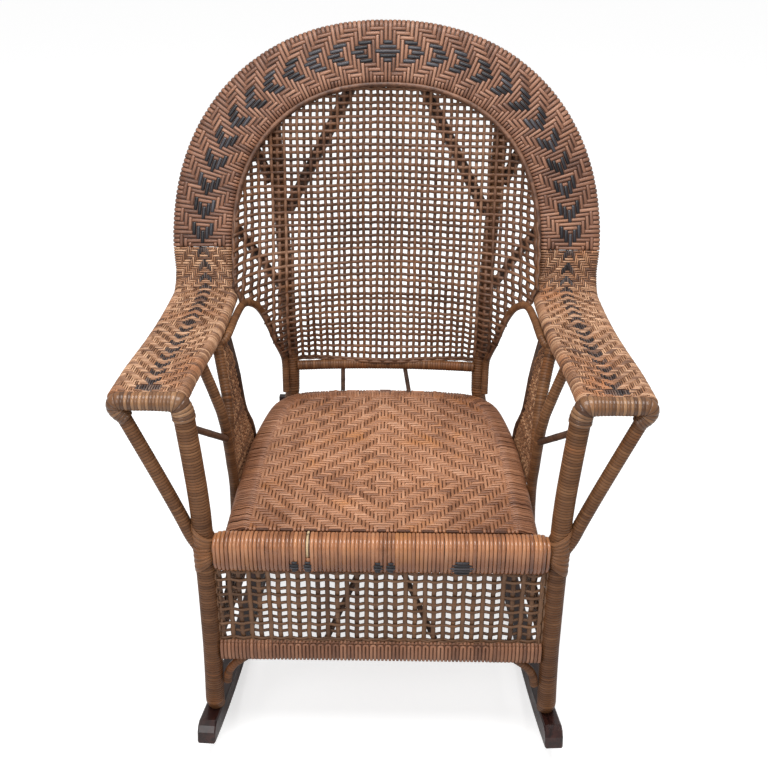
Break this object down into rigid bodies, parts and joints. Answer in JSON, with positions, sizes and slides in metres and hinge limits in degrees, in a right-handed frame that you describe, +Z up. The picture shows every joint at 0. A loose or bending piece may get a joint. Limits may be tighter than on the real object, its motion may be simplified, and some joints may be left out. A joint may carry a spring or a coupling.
{
  "type": "rocking chair",
  "caption": "Cane rocking chair: wrapped rattan frame, herringbone arm and rim bands, open lattice back and aprons, woven seat, dark wooden runners.",
  "frame": {"origin": "on the floor, below the middle of the bounding box", "axes": "+X to the sitter's left, which is right in a front view; +Y to the back; +Z up"},
  "size_m": [0.7322, 0.7492, 1.0255],
  "materials": {
    "wrapped_cane": "cane wrapping, satin",
    "woven_cane": "woven cane, satin",
    "bare_rattan": "bare rattan pole, satin",
    "dark_stained_wood": "dark stain, semi-gloss",
    "screw_steel": "plain steel"
  },
  "bodies": {
    "root": {"front_post_left": "wrapped_cane", "front_post_right": "wrapped_cane", "rear_post_left": "wrapped_cane", "rear_post_right": "wrapped_cane", "arm_front_bar_left": "wrapped_cane", "arm_front_bar_right": "wrapped_cane", "outer_arm_brace_left": "wrapped_cane", "outer_arm_brace_right": "wrapped_cane", "lower_rail_left": "wrapped_cane", "lower_rail_right": "wrapped_cane", "mid_arm_post_left": "wrapped_cane", "mid_arm_post_right": "wrapped_cane", "arm_post_branch_left": "wrapped_cane", "arm_post_branch_right": "wrapped_cane", "back_edge_pole_left": "wrapped_cane", "back_edge_pole_right": "wrapped_cane", "corner_bracket_left": "wrapped_cane", "corner_bracket_right": "wrapped_cane", "lower_rail_front": "wrapped_cane", "lower_rail_rear": "wrapped_cane", "back_bottom_rail": "wrapped_cane", "arm_band_left": "woven_cane", "arm_band_right": "woven_cane", "back_rim_band": "woven_cane", "seat_panel": "woven_cane", "seat_front_roll": "woven_cane", "back_panel": "woven_cane", "front_apron_panel": "woven_cane", "side_apron_left": "woven_cane", "side_apron_right": "woven_cane", "side_panel_left": "woven_cane", "side_panel_right": "woven_cane", "outer_rim_pole": "bare_rattan", "inner_rim_pole": "bare_rattan", "rim_bead": "bare_rattan", "seat_hoop": "bare_rattan", "front_seat_rail": "bare_rattan", "apron_top_rail": "bare_rattan", "back_spindle_left": "bare_rattan", "back_spindle_right": "bare_rattan", "small_arm_brace_left": "bare_rattan", "small_arm_brace_right": "bare_rattan", "side_panel_stick_left": "bare_rattan", "side_panel_stick_right": "bare_rattan", "fan_brace_left": "bare_rattan", "fan_brace_right": "bare_rattan", "upper_side_brace_left": "bare_rattan", "upper_side_brace_right": "bare_rattan", "lower_side_brace_left": "bare_rattan", "lower_side_brace_right": "bare_rattan", "apron_brace_left": "bare_rattan", "apron_brace_right": "bare_rattan", "runner_left": "dark_stained_wood", "runner_right": "dark_stained_wood", "rear_cross_rail": "dark_stained_wood", "front_foot_screw_left": "screw_steel", "front_foot_screw_right": "screw_steel", "rear_foot_screw_left": "screw_steel", "rear_foot_screw_right": "screw_steel"}
  },
  "joints": []
}
